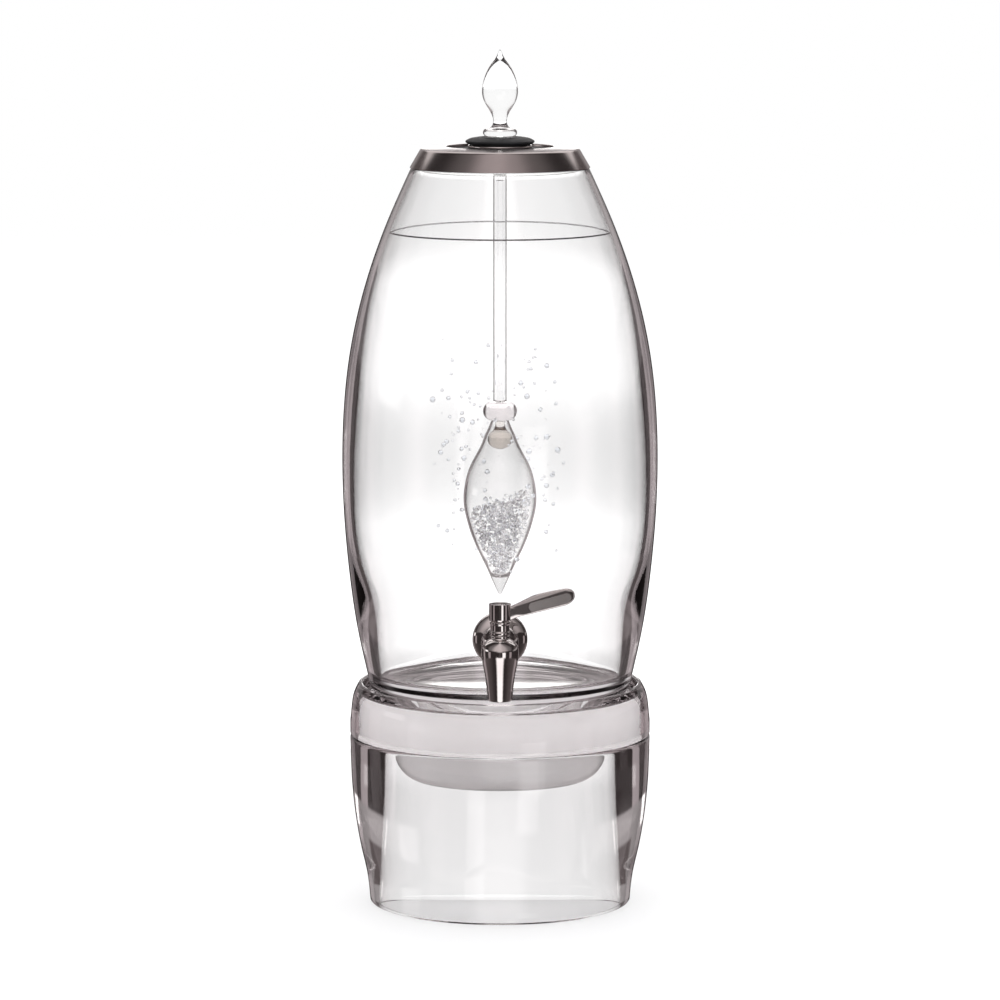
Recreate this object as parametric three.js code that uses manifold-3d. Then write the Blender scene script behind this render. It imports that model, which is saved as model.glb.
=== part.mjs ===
// A glass countertop water dispenser: stand, dish, vessel with tap, lid, and a vial on a glass rod.
// Millimetres, +Z up. The vessel's axis stands behind the origin, so that the whole dispenser,
// tap included, is centred on it. The tap points to -Y.
import * as THREE from "three";
import { mergeVertices } from "three/addons/utils/BufferGeometryUtils.js";
import Module from "manifold-3d";

const GAP = 0.3;
const LARGE = 36;
const MEDIUM = 24;
const SMALL = 16;

// Glass base.
const STAND_HEIGHT = 122;
const STAND_TOP_R = 108.4;
const STAND_FOOT_R = 94.3;
const STAND_BORE_TOP_R = 83;
const STAND_BORE_FOOT_R = 86.4;
const DISH_BOTTOM = 92;
const DISH_LEDGE = 150;
const DISH_LIP_TOP = 159.6;
const DISH_LIP_R = 98.6;
const BOWL_INNER_R = 68.5;
const BOWL_OUTER_R = 78.5;
const BOWL_FLOOR = 101;

// Vessel.
const BELLY_R = 113.5;
const VESSEL_BOTTOM = DISH_LEDGE + GAP;
const VESSEL_FLOOR = 167;
const MOUTH_Z = 531;
const MOUTH_INNER_R = 60.5;
const MOUTH_OUTER_R = 64.1;

// Lid and stopper.
const LID_BOTTOM = MOUTH_Z + GAP;
const LID_BOTTOM_R = 64.6;
const LID_EDGE_R = 56.4;
const LID_EDGE_Z = 545;
const LID_TOP_Z = 546.6;
const LID_SHELL = 1.6;
const RECESS_R = 38.4;
const HATCH_R = 30.6;
const LEDGE_Z = 539.7;
const DISC_TOP = 553.2;
const STEM_R = 4.8;
const STEM_BORE_R = 5.1;

// Vial on its rod.
const FINIAL_TOP = 615.4;
const JOINT_Z = 522;
const BEAD_TOP = 361.7;
const BEAD_BOTTOM = 349.8;
const BEAD_R = 12.2;
const VIAL_TIP = 218.5;
const NECK_OUTER_R = 6.2;
const NECK_INNER_R = 4.7;
const GLASS_WALL = 1.5;
const CHIP_FLOOR = 234;

// Tap, measured from its own upright axis, which stands TAP_REACH in front of the vessel's.
const TAP_REACH = 145;
const TAP_Z = 208;
const SPOUT_TIP = 170;
const SPOUT_R = 13.1;
const SPOUT_BORE_R = 5.2;
const SHANK_R = 6;
const SHANK_BORE_R = 3.9;
const SHANK_FIT_R = SHANK_R + GAP;
const HOLE_R = 6.8;
const CHAMBER_R = 6.1;
const PLUG_R = 5.9;
const PLUG_BOTTOM = 203;
const PLUG_TOP = 214;
const BONNET_Z = 216.8;
const BONNET_TOP = 225.8;
const VALVE_STEM_R = 3;
const HUB_R = 7.6;
const HUB_BOTTOM = BONNET_TOP + 0.5;
const HUB_TOP = 238.6;
const PADDLE_THICKNESS = 4.4;
const PADDLE_RISE = 15.3;
const SLOT_R = 3.6;
const INLAY_R = 3.2;
const INLAY_DEPTH = 0.8;

// Places along the tap's level axis, as distances from the vessel's axis.
const WASHER_FACE = 110;
const WASHER_OUTER_R = 16;
const ROSETTE_R = 19.3;
const ROSETTE_FRONT = 118.3;
const COLLAR_R = 13.2;
const BARREL_R = 8.4;
const BARREL_BACK = ROSETTE_FRONT + GAP;
const SHANK_FRONT = 128;
const SHANK_BACK = 66;
const NUT_FRONT = 84;
const NUT_THICKNESS = 7;
const NUT_R = 13;
const WASHER_INNER_R = 14;

const AXIS_Y = (TAP_REACH + SPOUT_R - BELLY_R) / 2;

const finish = (color, roughness, metalness) => () => new THREE.MeshStandardMaterial({
  color, roughness, metalness,
});
const glass = finish(0xeeecee, 0.04, 0);
const frosted = finish(0xd8d2d2, 0.45, 0);
const chrome = finish(0x9b9290, 0.12, 1);
const gunmetal = finish(0x7d7370, 0.3, 1);
const silicone = finish(0x151516, 0.6, 0);
const clearSilicone = finish(0xd5d5d2, 0.5, 0);
const mauveGlass = finish(0xe2d3d6, 0.06, 0);
const crystal = finish(0xd9dde2, 0.15, 0);

const wasm = await Module();
wasm.setup();

function toManifold(geometry) {
  const bare = geometry.clone();
  bare.deleteAttribute("normal");
  bare.deleteAttribute("uv");
  const merged = mergeVertices(bare, 1e-4);
  return new wasm.Manifold(new wasm.Mesh({
    numProp: 3,
    vertProperties: new Float32Array(merged.attributes.position.array),
    triVerts: new Uint32Array(merged.index.array),
  }));
}

function toGeometry(manifold) {
  const mesh = manifold.getMesh();
  const corners = new Float32Array(mesh.vertProperties);
  const geometry = new THREE.BufferGeometry();
  geometry.setAttribute("position", new THREE.BufferAttribute(corners, 3));
  geometry.setIndex(new THREE.BufferAttribute(new Uint32Array(mesh.triVerts), 1));
  geometry.computeVertexNormals();
  return geometry;
}

const cut = (body, ...tools) => toGeometry(tools.reduce(
  (left, tool) => left.subtract(toManifold(tool)), toManifold(body)));

const join = (...bodies) => toGeometry(bodies.slice(1).reduce(
  (left, body) => left.add(toManifold(body)), toManifold(bodies[0])));

// A solid of revolution about +Z. The points run [radius, height]; a profile that does not
// start and end on the axis is closed on itself.
function revolve(points, segments) {
  const profile = points.map(([radius, height]) => new THREE.Vector2(radius, height));
  const onAxis = profile[0].x === 0 && profile[profile.length - 1].x === 0;
  if (!onAxis) {
    profile.push(profile[0].clone());
  }
  if (THREE.ShapeUtils.area(profile) < 0) {
    profile.reverse();
  }
  const geometry = new THREE.LatheGeometry(profile, segments);
  geometry.rotateX(Math.PI / 2);
  return geometry;
}

// A smooth line through a few [radius, height] points, as a list of points.
function smooth(points, steps) {
  const knots = points.map(([radius, height]) => new THREE.Vector2(radius, height));
  return new THREE.SplineCurve(knots).getSpacedPoints(steps).map((point) => [point.x, point.y]);
}

// Points on an arc about [centreR, centreZ], by angles in degrees.
function arc(centreR, centreZ, radius, from, to, steps) {
  const points = [];
  for (let step = 0; step <= steps; step += 1) {
    const angle = THREE.MathUtils.degToRad(from + ((to - from) * step) / steps);
    points.push([centreR + radius * Math.cos(angle), centreZ + radius * Math.sin(angle)]);
  }
  return points;
}

function tube(inner, outer, bottom, top, segments) {
  return revolve([[inner, bottom], [outer, bottom], [outer, top], [inner, top]], segments);
}

function rod(radius, bottom, top, segments) {
  return revolve([[0, bottom], [radius, bottom], [radius, top], [0, top]], segments);
}

// Turns a piece made along +Z into one along the tap's level axis: height becomes the
// distance in front of the vessel's axis.
function alongTap(geometry) {
  geometry.rotateX(Math.PI / 2);
  geometry.translate(0, 0, TAP_Z);
  return geometry;
}

function standGeometry() {
  const outside = smooth([
    [STAND_FOOT_R + 0.6, 1], [96.5, 20], [100.4, 37.5], [104, 57], [107.2, 86],
    [STAND_TOP_R, STAND_HEIGHT - 3],
  ], 7);
  return revolve([
    [STAND_BORE_FOOT_R + 1, 0],
    [STAND_FOOT_R - 0.6, 0],
    ...outside,
    ...arc(STAND_TOP_R - 2.5, STAND_HEIGHT - 2.5, 2.5, 30, 90, 2),
    ...arc(STAND_BORE_TOP_R + 2.5, STAND_HEIGHT - 2.5, 2.5, 90, 180, 3),
    [STAND_BORE_TOP_R + 1.2, 60],
    [STAND_BORE_FOOT_R, 1],
  ], LARGE);
}

function dishGeometry() {
  const flangeBottom = STAND_HEIGHT + GAP;
  return revolve([
    [0, DISH_BOTTOM],
    [50, DISH_BOTTOM],
    ...arc(54, DISH_BOTTOM + 22, 22, -80, -10, 4),
    [BOWL_OUTER_R, flangeBottom],
    [STAND_TOP_R - 1.6, flangeBottom],
    [STAND_TOP_R, flangeBottom + 1.6],
    ...smooth([
      [STAND_TOP_R, 132], [107.4, 142], [105.6, 152], [DISH_LIP_R + 3.6, DISH_LIP_TOP - 0.6],
    ], 4),
    [DISH_LIP_R + 1.4, DISH_LIP_TOP],
    [DISH_LIP_R, DISH_LIP_TOP - 1.2],
    [DISH_LIP_R - 0.6, DISH_LEDGE + 2],
    [DISH_LIP_R - 2.6, DISH_LEDGE],
    [BOWL_INNER_R + 1, DISH_LEDGE],
    [BOWL_INNER_R, DISH_LEDGE - 1],
    ...arc(BOWL_INNER_R - 15.5, BOWL_FLOOR + 14, 14, 0, -90, 4),
    [0, BOWL_FLOOR],
  ], LARGE);
}

const VESSEL_OUTSIDE = [
  [95.4, 164.5], [103.2, 201], [108.4, 237.6], [111.8, 274], [113.4, 310.7], [112.9, 347.2],
  [109.9, 383.8], [103.6, 420.3], [93.7, 456.9], [80.4, 493.4], [MOUTH_OUTER_R, MOUTH_Z - 1],
];
const VESSEL_INSIDE = [
  [86.2, 174], [89.6, 196], [94.4, 218], [99.7, 240], [103.2, 262], [105, 290.6], [104.8, 324.8],
  [102.9, 359], [100, 393.2], [95.2, 427.4], [87.2, 461.6], [75.1, 495.8],
  [MOUTH_INNER_R, MOUTH_Z - 1],
];

function vesselWall(offset) {
  const grow = (points, amount) => points.map(([radius, height]) => [radius + amount, height]);
  return [
    ...grow(smooth(VESSEL_OUTSIDE, 12), offset),
    [MOUTH_OUTER_R - 1, MOUTH_Z],
    [MOUTH_INNER_R + 1, MOUTH_Z],
    ...grow(smooth(VESSEL_INSIDE, 11), -offset).reverse(),
  ];
}

function vesselGeometry() {
  const glassBody = revolve([
    [0, VESSEL_BOTTOM + 2.5],
    [58, VESSEL_BOTTOM + 1.8],
    [63, VESSEL_BOTTOM],
    [81, VESSEL_BOTTOM],
    ...arc(81, VESSEL_BOTTOM + 14.5, 14.5, -78, -12, 4),
    ...vesselWall(0),
    ...arc(81.4, VESSEL_FLOOR + 4.4, 4.4, -5, -90, 3),
    [0, VESSEL_FLOOR],
  ], LARGE);
  const hole = alongTap(rod(HOLE_R, 60, 130, SMALL));
  return cut(glassBody, hole);
}

// The glass wall, grown by the gap, which shapes the faces of the two washers.
function washerCutter() {
  return revolve(vesselWall(GAP), LARGE);
}

function lidRingGeometry() {
  const slope = (LID_BOTTOM_R - LID_EDGE_R) / (LID_EDGE_Z - LID_BOTTOM);
  const inside = LID_SHELL * Math.hypot(1, slope);
  return revolve([
    [LID_BOTTOM_R - inside, LID_BOTTOM],
    [LID_BOTTOM_R, LID_BOTTOM],
    [LID_EDGE_R + 0.8, LID_EDGE_Z - 1],
    [LID_EDGE_R - 0.6, LID_EDGE_Z + 0.3],
    [RECESS_R + 0.6, LID_TOP_Z],
    [RECESS_R, LID_TOP_Z - 0.6],
    [RECESS_R, LEDGE_Z],
    [HATCH_R, LEDGE_Z],
    [HATCH_R, LEDGE_Z - 8],
    [HATCH_R + LID_SHELL, LEDGE_Z - 8],
    [HATCH_R + LID_SHELL, LEDGE_Z - LID_SHELL],
    [RECESS_R + LID_SHELL, LEDGE_Z - LID_SHELL],
    [RECESS_R + LID_SHELL, LID_TOP_Z - LID_SHELL - 0.3],
    [LID_EDGE_R - 1.6, LID_EDGE_Z - LID_SHELL],
  ], LARGE);
}

function lidSealGeometry() {
  return revolve([
    [56.6, MOUTH_Z - 3],
    [MOUTH_INNER_R - 1.6, MOUTH_Z - 3],
    [MOUTH_INNER_R - 0.5, MOUTH_Z - 1.4],
    [MOUTH_INNER_R - 0.5, LID_BOTTOM],
    [62, LID_BOTTOM],
    [60.3, LID_BOTTOM + 3],
    [44, LID_BOTTOM + 3],
    [44, LID_BOTTOM + 1],
    [56.6, LID_BOTTOM],
  ], LARGE);
}

function stopperGeometry() {
  const plugR = HATCH_R - 0.6;
  return revolve([
    [STEM_BORE_R, 530],
    [plugR - 1.5, 530],
    [plugR, 531.5],
    [plugR - 1, 533.5],
    [plugR, 535.5],
    [plugR, LEDGE_Z + GAP],
    [RECESS_R - 0.6, LEDGE_Z + GAP],
    [RECESS_R - 0.6, LEDGE_Z + 4.2],
    [RECESS_R - 1.4, LEDGE_Z + 5],
    [19.6, LEDGE_Z + 5],
    [19.6, 547.8],
    [22.6, 547.8],
    [24.6, 549.4],
    [24.6, 550.4],
    [21.5, 552.2],
    [16, DISC_TOP],
    [STEM_BORE_R, DISC_TOP],
  ], MEDIUM);
}

function stopperRingGeometry() {
  return tube(19.9, 23, LEDGE_Z + 5 + GAP, 547.5, MEDIUM);
}

function finialGeometry() {
  const drop = smooth([
    [STEM_R, 563.5], [5.4, 568], [9, 574.5], [12.2, 581], [12.8, 587], [11.2, 595], [7.6, 603],
    [3.5, 608.6],
  ], 9);
  return revolve([
    [0, JOINT_Z],
    [STEM_R, JOINT_Z],
    [STEM_R, DISC_TOP + GAP],
    [11.6, DISC_TOP + GAP],
    ...arc(9.4, DISC_TOP + 3, 2.7, -60, 60, 3),
    [6.2, 560.3],
    ...drop,
    [2.6, 610.4],
    [0, FINIAL_TOP],
  ], MEDIUM);
}

function rodGeometry() {
  return rod(STEM_R, BEAD_TOP + GAP, JOINT_Z - GAP, SMALL);
}

function beadGeometry() {
  const middle = (BEAD_TOP + BEAD_BOTTOM) / 2;
  const half = (BEAD_TOP - BEAD_BOTTOM) / 2;
  return revolve([
    [0, BEAD_BOTTOM],
    ...arc(BEAD_R - half, middle, half, -90, 90, 6),
    [0, BEAD_TOP],
  ], MEDIUM);
}

const BULB_OUTSIDE = [
  [10.4, 340.5], [14, 332], [20.8, 319.5], [25.3, 304], [26.1, 293], [23.6, 278.5],
  [17.4, 259.5], [10.4, 243], [5.2, 229.5],
];

function bulbInside(extra) {
  return BULB_OUTSIDE.slice(0, 7).map(([radius, height]) => [radius - GLASS_WALL - extra, height]);
}

function vialGeometry() {
  const top = BEAD_BOTTOM - GAP;
  return revolve([
    [0, VIAL_TIP],
    [1.2, VIAL_TIP + 1.2],
    ...smooth(BULB_OUTSIDE, 11).reverse(),
    [NECK_OUTER_R, top],
    [NECK_INNER_R, top],
    ...smooth(bulbInside(0), 9),
    [8.6, 243.5],
    [4, CHIP_FLOOR + 0.8],
    [0, CHIP_FLOOR],
  ], MEDIUM);
}

function vialPlugGeometry() {
  return revolve([
    [0, 330],
    [5, 331.2],
    [8, 334],
    [8.8, 337],
    [7.2, 341],
    [NECK_INNER_R - 1, 345],
    [NECK_INNER_R - 1, BEAD_BOTTOM - GAP],
    [0, BEAD_BOTTOM - GAP],
  ], MEDIUM);
}

// The heap of chips lies against the glass and is higher on one side.
function crystalChipsGeometry() {
  const outside = bulbInside(0.6).slice(2).reverse();
  const filled = revolve([
    [0, CHIP_FLOOR + 0.6],
    [3.4, CHIP_FLOOR + 1.4],
    [7.8, 244],
    ...smooth(outside, 9),
    [0, outside[outside.length - 1][1]],
  ], MEDIUM);
  const above = new THREE.BoxGeometry(120, 120, 60);
  above.translate(0, 0, 30);
  above.rotateY(THREE.MathUtils.degToRad(-17));
  above.translate(0, 0, 295);
  return cut(filled, above);
}

function spoutOutline() {
  return [
    [0, SPOUT_TIP],
    [8.2, SPOUT_TIP],
    [8.6, SPOUT_TIP + 0.6],
    ...smooth([
      [9.4, 178], [11, 190], [12.6, 199], [SPOUT_R, 204], [12, 209.6], [8.4, 213.2],
    ], 7),
    [6.9, 213.8],
    [6.9, BONNET_Z - GAP],
    [0, BONNET_Z - GAP],
  ];
}

function tapBodyGeometry() {
  const spout = revolve(spoutOutline(), MEDIUM);
  spout.translate(0, -TAP_REACH, 0);
  const barrel = alongTap(revolve([
    [0, BARREL_BACK],
    ...smooth([
      [COLLAR_R - 3, BARREL_BACK], [COLLAR_R - 2.4, 120.4], [COLLAR_R, 127],
      [COLLAR_R - 1.4, 132.6], [BARREL_R, 136.6],
    ], 8),
    [BARREL_R, TAP_REACH],
    [0, TAP_REACH + 5],
  ], MEDIUM));
  const outlet = rod(SPOUT_BORE_R, SPOUT_TIP - 5, PLUG_BOTTOM, SMALL);
  outlet.translate(0, -TAP_REACH, 0);
  const chamber = rod(CHAMBER_R, PLUG_BOTTOM - GAP, BONNET_Z + 5, SMALL);
  chamber.translate(0, -TAP_REACH, 0);
  const socket = alongTap(rod(SHANK_FIT_R, BARREL_BACK - 5, SHANK_FRONT + GAP, SMALL));
  const inlet = alongTap(rod(SHANK_BORE_R, SHANK_FRONT - 1, TAP_REACH, SMALL));
  return cut(join(spout, barrel), outlet, chamber, socket, inlet);
}

function tapShankGeometry() {
  return alongTap(tube(SHANK_BORE_R, SHANK_R, SHANK_BACK, SHANK_FRONT, SMALL));
}

function rosetteGeometry() {
  return alongTap(revolve([
    [SHANK_FIT_R, WASHER_FACE + GAP],
    [ROSETTE_R - 0.6, WASHER_FACE + GAP],
    ...smooth([
      [ROSETTE_R, WASHER_FACE + 1.2], [ROSETTE_R - 0.4, WASHER_FACE + 2.8], [16.2, 115.4],
      [12, 117.6], [SHANK_FIT_R, ROSETTE_FRONT],
    ], 7),
  ], MEDIUM));
}

function washerOuterGeometry() {
  return cut(alongTap(tube(SHANK_FIT_R, WASHER_OUTER_R, 98, WASHER_FACE, MEDIUM)), washerCutter());
}

function washerInnerGeometry() {
  return cut(alongTap(tube(SHANK_FIT_R, WASHER_INNER_R, NUT_FRONT + GAP, 98, MEDIUM)), washerCutter());
}

function lockNutGeometry() {
  const outline = new THREE.Shape();
  for (let corner = 0; corner < 6; corner += 1) {
    const angle = (corner * Math.PI) / 3;
    outline[corner === 0 ? "moveTo" : "lineTo"](NUT_R * Math.cos(angle), NUT_R * Math.sin(angle));
  }
  const bore = new THREE.Path();
  bore.absarc(0, 0, SHANK_FIT_R, 0, 2 * Math.PI, true);
  outline.holes.push(bore);
  const nut = new THREE.ExtrudeGeometry(outline, {
    depth: NUT_THICKNESS, bevelEnabled: false, curveSegments: 12,
  });
  nut.translate(0, 0, NUT_FRONT - NUT_THICKNESS);
  return alongTap(nut);
}

function bonnetGeometry() {
  const bonnet = revolve([
    [VALVE_STEM_R + GAP, BONNET_Z],
    [7.2, BONNET_Z],
    [7.2, BONNET_Z + 1.8],
    [6.7, BONNET_Z + 2.4],
    [6.7, BONNET_TOP - 2],
    [7.1, BONNET_TOP - 1.4],
    [7.1, BONNET_TOP],
    [VALVE_STEM_R + GAP, BONNET_TOP],
  ], SMALL);
  bonnet.translate(0, -TAP_REACH, 0);
  return bonnet;
}

function valvePlugGeometry() {
  const plug = revolve([
    [0, PLUG_BOTTOM],
    [PLUG_R, PLUG_BOTTOM],
    [PLUG_R, PLUG_TOP],
    [VALVE_STEM_R, PLUG_TOP],
    [VALVE_STEM_R, HUB_TOP - 5],
    [0, HUB_TOP - 5],
  ], SMALL);
  const down = rod(3.4, PLUG_BOTTOM - 5, TAP_Z, 16);
  const side = rod(3.4, 0, 12, 16);
  side.rotateY(-Math.PI / 2);
  side.translate(0, 0, TAP_Z);
  const thread = rod(1.5, HUB_TOP - 12, HUB_TOP, 16);
  const plugGeometry = cut(plug, join(down, side), thread);
  plugGeometry.translate(0, -TAP_REACH, 0);
  return plugGeometry;
}

function valveSealsGeometry() {
  const seal = (height) => revolve(arc(4.55, height, 0.85, 0, 315, 7), SMALL);
  const pair = join(seal(PLUG_TOP + 1.1), seal(BONNET_Z - 0.9));
  pair.translate(0, -TAP_REACH, 0);
  return pair;
}

// The paddle stands upright in the X-Z plane and rises away from the hub.
function paddleOutline() {
  const outline = new THREE.Shape();
  outline.moveTo(2, HUB_BOTTOM + 0.6);
  outline.lineTo(HUB_R, HUB_BOTTOM + 0.8);
  outline.lineTo(12, 229);
  outline.lineTo(45.6, 237.4);
  outline.bezierCurveTo(50.4, 239.2, 52.6, 242.6, 51.6, 245.4);
  outline.bezierCurveTo(50.6, 248.6, 47, 249.2, 43.4, 248.6);
  outline.bezierCurveTo(33, 246.6, 26, 245.4, 21, 243);
  outline.bezierCurveTo(16, 240.6, 12.4, 238.6, 7.4, 236.4);
  outline.lineTo(2, 235.6);
  outline.closePath();
  return outline;
}

function slotOutline(radius) {
  const turn = THREE.MathUtils.degToRad(PADDLE_RISE);
  const outline = new THREE.Shape();
  outline.absarc(22.3, 0, radius, Math.PI / 2, 1.5 * Math.PI, false);
  outline.absarc(46.4, 0, radius, -Math.PI / 2, Math.PI / 2, false);
  const points = outline.getPoints(6).map((point) => new THREE.Vector2(
    point.x * Math.cos(turn) - point.y * Math.sin(turn) + 1.6,
    point.x * Math.sin(turn) + point.y * Math.cos(turn) + 230.4));
  return new THREE.Shape(points);
}

// Extrudes an outline of the X-Z plane from one distance in front of the paddle's middle
// plane to another.
function upright(outline, from, to) {
  const geometry = new THREE.ExtrudeGeometry(outline, {
    depth: to - from, bevelEnabled: false, curveSegments: 6,
  });
  geometry.rotateX(Math.PI / 2);
  geometry.translate(0, -TAP_REACH - from, 0);
  return geometry;
}

function leverGeometry() {
  const half = PADDLE_THICKNESS / 2;
  const hub = revolve([
    [0, HUB_BOTTOM],
    [HUB_R, HUB_BOTTOM],
    [HUB_R, HUB_TOP - 0.6],
    [HUB_R - 0.6, HUB_TOP],
    [0, HUB_TOP],
  ], MEDIUM);
  const place = (geometry) => geometry.translate(0, -TAP_REACH, 0);
  const stemSocket = rod(VALVE_STEM_R + GAP, HUB_BOTTOM - 5, HUB_TOP - 5 + GAP, SMALL);
  const screwHole = rod(1.9, HUB_BOTTOM, HUB_TOP + 1, SMALL);
  const headRecess = rod(5, HUB_TOP - 2.2, HUB_TOP + 1, SMALL);
  return cut(
    join(place(hub), upright(paddleOutline(), -half, half)),
    place(stemSocket),
    place(screwHole),
    place(headRecess),
    upright(slotOutline(SLOT_R), half - INLAY_DEPTH, half + 1),
    upright(slotOutline(SLOT_R), -half - 1, -half + INLAY_DEPTH));
}

function inlayGeometry(side) {
  const outer = PADDLE_THICKNESS / 2 - 0.1;
  const inner = PADDLE_THICKNESS / 2 - INLAY_DEPTH + 0.25;
  const outline = slotOutline(INLAY_R);
  return side > 0 ? upright(outline, inner, outer) : upright(outline, -outer, -inner);
}

function capScrewGeometry() {
  const screw = revolve([
    [0, HUB_TOP - 10],
    [1.2, HUB_TOP - 10],
    [1.2, HUB_TOP - 1.9],
    [4.6, HUB_TOP - 1.9],
    [4.6, HUB_TOP - 0.5],
    [4.1, HUB_TOP],
    [0, HUB_TOP],
  ], SMALL);
  const socket = rod(2.2, HUB_TOP - 1.4, HUB_TOP + 1, 6);
  const geometry = cut(screw, socket);
  geometry.translate(0, -TAP_REACH, 0);
  return geometry;
}

const dispenser = new THREE.Group();
dispenser.position.y = AXIS_Y;

function add(name, geometry, material) {
  const mesh = new THREE.Mesh(geometry, material);
  mesh.name = name;
  dispenser.add(mesh);
}

add("stand", standGeometry(), glass());
add("dish", dishGeometry(), frosted());
add("vessel", vesselGeometry(), glass());
add("lid_ring", lidRingGeometry(), gunmetal());
add("lid_seal", lidSealGeometry(), clearSilicone());
add("stopper", stopperGeometry(), silicone());
add("stopper_ring", stopperRingGeometry(), chrome());
add("finial", finialGeometry(), glass());
add("rod", rodGeometry(), glass());
add("bead", beadGeometry(), mauveGlass());
add("vial", vialGeometry(), glass());
add("vial_plug", vialPlugGeometry(), mauveGlass());
add("crystal_chips", crystalChipsGeometry(), crystal());
add("tap_body", tapBodyGeometry(), chrome());
add("tap_shank", tapShankGeometry(), chrome());
add("rosette", rosetteGeometry(), chrome());
add("washer_outer", washerOuterGeometry(), silicone());
add("washer_inner", washerInnerGeometry(), silicone());
add("lock_nut", lockNutGeometry(), chrome());
add("tap_bonnet", bonnetGeometry(), chrome());
add("valve_plug", valvePlugGeometry(), chrome());
add("valve_seals", valveSealsGeometry(), silicone());
add("lever", leverGeometry(), chrome());
add("lever_inlay_front", inlayGeometry(1), gunmetal());
add("lever_inlay_back", inlayGeometry(-1), gunmetal());
add("cap_screw", capScrewGeometry(), chrome());

export default dispenser;
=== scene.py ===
"""Glass countertop water dispenser: stand, dish, vessel with tap, lid, and a vial on a glass rod.

Every outline is in millimetres, as (radius, height) about the vessel's axis or the tap's own
upright axis, and is turned into metres where its mesh is made.
"""
import bisect
import math
import random

import bmesh
import bpy
from mathutils import Matrix, Vector, noise


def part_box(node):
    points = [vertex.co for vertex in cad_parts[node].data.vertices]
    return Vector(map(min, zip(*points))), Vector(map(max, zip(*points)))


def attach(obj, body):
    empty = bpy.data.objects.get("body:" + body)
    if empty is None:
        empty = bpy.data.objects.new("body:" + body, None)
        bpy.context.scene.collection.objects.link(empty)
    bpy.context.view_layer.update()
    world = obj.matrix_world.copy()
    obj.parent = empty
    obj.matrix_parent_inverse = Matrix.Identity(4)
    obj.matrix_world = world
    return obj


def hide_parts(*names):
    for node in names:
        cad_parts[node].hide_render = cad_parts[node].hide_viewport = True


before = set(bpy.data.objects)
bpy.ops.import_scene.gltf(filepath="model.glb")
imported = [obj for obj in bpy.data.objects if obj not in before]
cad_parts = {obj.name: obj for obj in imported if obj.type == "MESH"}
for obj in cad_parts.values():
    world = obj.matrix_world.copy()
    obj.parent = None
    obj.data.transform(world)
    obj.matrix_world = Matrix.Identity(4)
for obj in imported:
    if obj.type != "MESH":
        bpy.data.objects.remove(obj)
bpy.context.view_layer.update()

MM = 0.001
FINE = 144
MEDIUM = 72
SMALL = 40

# ---------------------------------------------------------------- places read from the frame
stand_lo, stand_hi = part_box("stand")
dish_lo, dish_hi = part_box("dish")
vessel_lo, vessel_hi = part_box("vessel")
lid_lo, lid_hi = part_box("lid_ring")
stopper_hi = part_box("stopper")[1]
finial_lo, finial_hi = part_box("finial")
rod_lo, rod_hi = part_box("rod")
bead_lo, bead_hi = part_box("bead")
vial_lo, vial_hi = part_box("vial")
plug_lo, plug_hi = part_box("valve_plug")
bonnet_lo, bonnet_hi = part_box("tap_bonnet")
lever_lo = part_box("lever")[0]
shank_lo, shank_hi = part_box("tap_shank")
nut_lo, nut_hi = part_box("lock_nut")

AXIS = Vector(((stand_lo.x + stand_hi.x) / 2, (stand_lo.y + stand_hi.y) / 2, 0))
TAP = Vector(((bonnet_lo.x + bonnet_hi.x) / 2, (bonnet_lo.y + bonnet_hi.y) / 2, 0))
TAP_Z = (shank_lo.z + shank_hi.z) / 2


# ---------------------------------------------------------------- outlines
def spline(points, steps):
    """A smooth line through a few (radius, height) points, as steps + 1 points evenly along it."""
    places = [0.0]
    for before, after in zip(points, points[1:]):
        places.append(places[-1] + math.dist(before, after))
    columns = [bent([point[axis] for point in points], places) for axis in (0, 1)]
    line = []
    for step in range(steps + 1):
        place = places[-1] * step / steps
        line.append(tuple(column(place) for column in columns))
    return line


def bent(values, places):
    """The natural cubic spline through values at places, as a function of the place."""
    count = len(values)
    gaps = [b - a for a, b in zip(places, places[1:])]
    slopes = [(b - a) / gap for a, b, gap in zip(values, values[1:], gaps)]
    bends = [0.0] * count
    upper = [0.0] * count
    for index in range(1, count - 1):
        pivot = 2 * (gaps[index - 1] + gaps[index]) - gaps[index - 1] * upper[index - 1]
        upper[index] = gaps[index] / pivot
        change = 6 * (slopes[index] - slopes[index - 1])
        bends[index] = (change - gaps[index - 1] * bends[index - 1]) / pivot
    for index in range(count - 2, 0, -1):
        bends[index] -= upper[index] * bends[index + 1]

    def at(place):
        index = min(bisect.bisect_right(places, place), count - 1) - 1
        gap = gaps[index]
        near = (places[index + 1] - place) / gap
        far = 1 - near
        return (near * values[index] + far * values[index + 1]
                + ((near ** 3 - near) * bends[index] + (far ** 3 - far) * bends[index + 1]) * gap ** 2 / 6)

    return at


def arc(centre_r, centre_z, radius, start, end, steps=12):
    """Points on an arc about (centre_r, centre_z), by angles in degrees."""
    angles = [math.radians(start + (end - start) * step / steps) for step in range(steps + 1)]
    return [(centre_r + radius * math.cos(a), centre_z + radius * math.sin(a)) for a in angles]


def rounded(points, steps=5):
    """An outline in which a point given as (radius, height, fillet) becomes a rounded corner."""
    line = []
    for index, point in enumerate(points):
        if len(point) == 2:
            line.append(point)
            continue
        corner = Vector(point[:2])
        before = Vector(points[index - 1][:2]) - corner
        after = Vector(points[(index + 1) % len(points)][:2]) - corner
        reach = min(point[2], before.length * 0.49, after.length * 0.49)
        start = corner + before.normalized() * reach
        end = corner + after.normalized() * reach
        for step in range(steps + 1):
            t = step / steps
            place = start * (1 - t) ** 2 + corner * 2 * t * (1 - t) + end * t ** 2
            line.append((place.x, place.y))
    return line


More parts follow.
